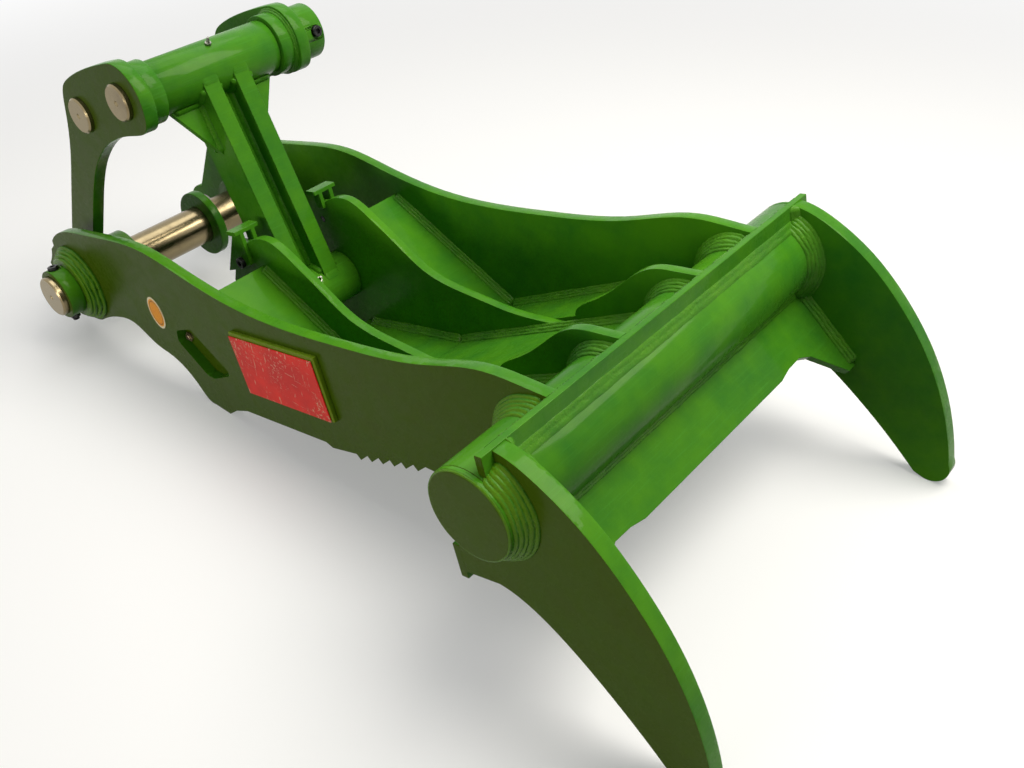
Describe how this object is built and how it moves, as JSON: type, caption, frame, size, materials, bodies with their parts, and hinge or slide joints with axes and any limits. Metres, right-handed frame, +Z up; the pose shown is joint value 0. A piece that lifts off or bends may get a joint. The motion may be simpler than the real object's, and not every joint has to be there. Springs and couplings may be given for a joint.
{
  "type": "hydraulic thumb",
  "caption": "Hydraulic excavator thumb: a welded fork with curved tines on a main pin, an H-link and dog-leg drive links for a cylinder.",
  "frame": {"origin": "centre of the main pin, on the middle plane", "axes": "+X forward to the tines, +Y left along the pins, +Z up, with hooks and tine tips level as they stand on a floor"},
  "size_m": [2.17, 0.976, 0.7401],
  "materials": {
    "green_paint": "high gloss enamel",
    "pin_steel": "ground and turned",
    "bush_steel": "machined",
    "black_bolt": "black oxide",
    "nipple_steel": "plated",
    "red_plate": "satin red plate",
    "gold_label": "gold foil"
  },
  "bodies": {
    "thumb": {"bracket_bolts": "black_bolt", "cross_bolt_nuts": "black_bolt", "cross_bolts": "black_bolt", "cross_tube": "green_paint", "floor_plate_centre": "green_paint", "floor_plate_left": "green_paint", "floor_plate_right": "green_paint", "front_gusset_left": "green_paint", "front_gusset_right": "green_paint", "inner_plate_left": "green_paint", "inner_plate_right": "green_paint", "locking_collar_left": "green_paint", "locking_collar_right": "green_paint", "lower_link_pin": "pin_steel", "lower_pin_bolts": "black_bolt", "lower_pin_retainers": "green_paint", "main_pin": "pin_steel", "nameplate": "red_plate", "nameplate_backing": "green_paint", "oval_label": "gold_label", "pin_boss_left": "green_paint", "pin_boss_right": "green_paint", "rear_cross_bar": "green_paint", "side_plate_left": "green_paint", "side_plate_right": "green_paint", "skirt_plate": "green_paint", "stop_bracket_left": "green_paint", "stop_bracket_right": "green_paint", "tine_left": "green_paint", "tine_right": "green_paint", "top_strip": "green_paint", "tube_end_caps": "green_paint", "window_bolts": "black_bolt", "window_cover_left": "green_paint", "window_cover_right": "green_paint"},
    "h_link": {"h_link_gusset_left": "green_paint", "h_link_gusset_right": "green_paint", "h_link_lower_bushes": "bush_steel", "h_link_lower_tube": "green_paint", "h_link_rib_left": "green_paint", "h_link_rib_right": "green_paint", "h_link_upper_bushes": "bush_steel", "h_link_upper_tube": "green_paint", "h_link_web": "green_paint", "grease_fittings": "nipple_steel"},
    "drive_links": {"dog_link_left": "green_paint", "dog_link_right": "green_paint", "eye_bushes": "bush_steel", "link_rings": "green_paint", "upper_link_pin": "pin_steel", "cylinder_pin": "pin_steel", "link_pin_keepers": "black_bolt", "upper_pin_collar": "green_paint", "collar_bolt": "black_bolt", "collar_bolt_nut": "black_bolt"},
    "spacers": {"spacer_discs": "green_paint"}
  },
  "joints": [
    {"name": "h_link_hinge", "type": "hinge", "parent": "thumb", "child": "h_link", "pos_m": [0.50971, 0, 0.00089], "axis": [0, 1, 0], "range_deg": [0, 75]},
    {"name": "drive_link_hinge", "type": "hinge", "parent": "h_link", "child": "drive_links", "pos_m": [0.29975, 0, 0.50553], "axis": [0, 1, 0], "range_deg": [0, 60]},
    {"name": "spacer_slide", "type": "slide", "parent": "thumb", "child": "spacers", "axis": [0, 1, 0], "range_m": [-0.21, 0.095]}
  ]
}
